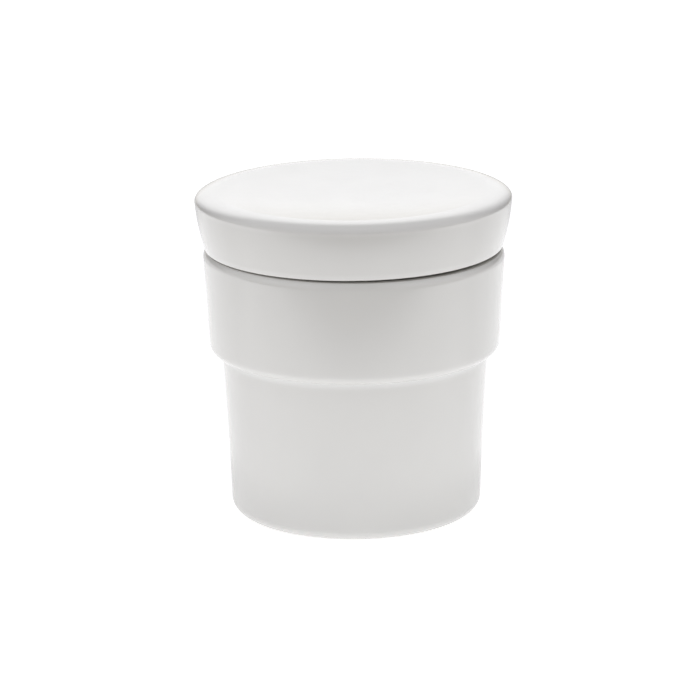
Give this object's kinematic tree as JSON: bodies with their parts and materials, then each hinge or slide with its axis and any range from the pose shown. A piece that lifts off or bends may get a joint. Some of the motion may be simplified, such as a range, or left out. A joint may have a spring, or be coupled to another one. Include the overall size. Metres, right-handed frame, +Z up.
{
  "type": "lidded porcelain crucible",
  "caption": "Round porcelain crucible: a tapered cup with a stepped-out collar that holds a charge, and a flared lid with a dished top that locates in its mouth and lifts off.",
  "frame": {"origin": "on the axis, in the plane that the foot ring stands on", "axes": "+Z up along the axis of both pieces; the object is round, so +X and +Y are free"},
  "size_m": [0.09, 0.09, 0.093],
  "materials": {
    "glazed_porcelain": "white hard porcelain under a clear glossy glaze, with the foot ring and the lid's seat left bare"
  },
  "bodies": {
    "cup": {"cup": "glazed_porcelain"},
    "lid": {"lid": "glazed_porcelain"}
  },
  "joints": [
    {"name": "lid_lift", "type": "slide", "parent": "cup", "child": "lid", "axis": [0, 0, 1], "range_m": [0, 0.12]}
  ]
}
